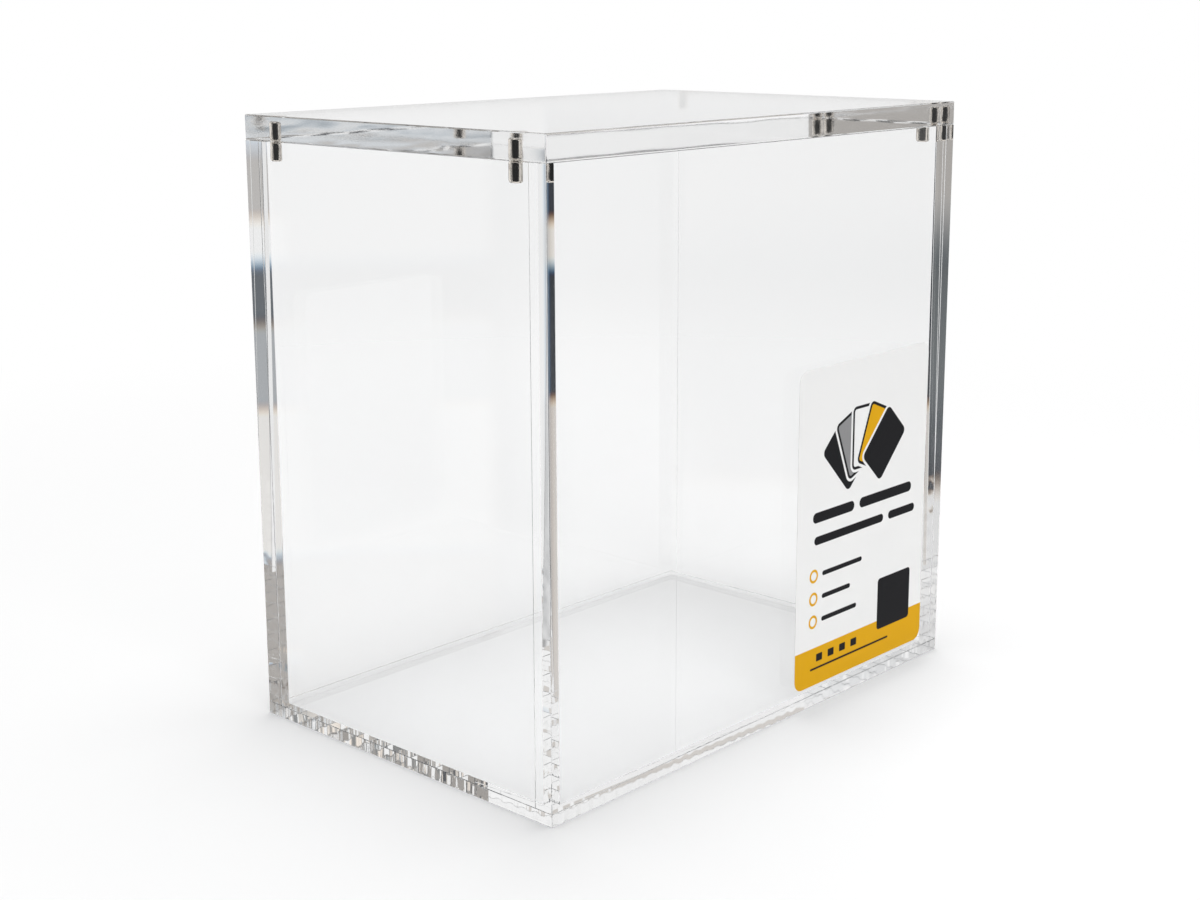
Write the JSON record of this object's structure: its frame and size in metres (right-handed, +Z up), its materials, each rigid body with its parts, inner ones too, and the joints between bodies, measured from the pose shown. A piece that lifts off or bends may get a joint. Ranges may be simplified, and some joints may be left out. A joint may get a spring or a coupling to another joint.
{
  "type": "trading card display case",
  "caption": "Clear acrylic display case for a sealed box of trading cards, with a thick flat lid that lifts off and is held by small magnets.",
  "frame": {"origin": "middle of the underside of the base panel, on the surface that the case stands on", "axes": "+X along the long walls, the labelled long wall faces -Y, +Z up, the way the lid lifts"},
  "size_m": [0.152, 0.0991, 0.1495],
  "materials": {
    "clear_acrylic": "clear cast acrylic with polished edges",
    "nickel_plate": "nickel-plated magnet",
    "label_paper": "printed gloss sticker"
  },
  "bodies": {
    "case": {"base_panel": "clear_acrylic", "front_wall": "clear_acrylic", "back_wall": "clear_acrylic", "left_wall": "clear_acrylic", "right_wall": "clear_acrylic", "body_magnet_front_left": "nickel_plate", "body_magnet_front_right": "nickel_plate", "body_magnet_back_left": "nickel_plate", "body_magnet_back_right": "nickel_plate", "front_label": "label_paper"},
    "lid": {"lid_plate": "clear_acrylic", "lid_magnet_front_left": "nickel_plate", "lid_magnet_front_right": "nickel_plate", "lid_magnet_back_left": "nickel_plate", "lid_magnet_back_right": "nickel_plate"}
  },
  "joints": [
    {"name": "lid_lift", "type": "slide", "parent": "case", "child": "lid", "axis": [0, 0, 1], "range_m": [0, 0.15]}
  ]
}
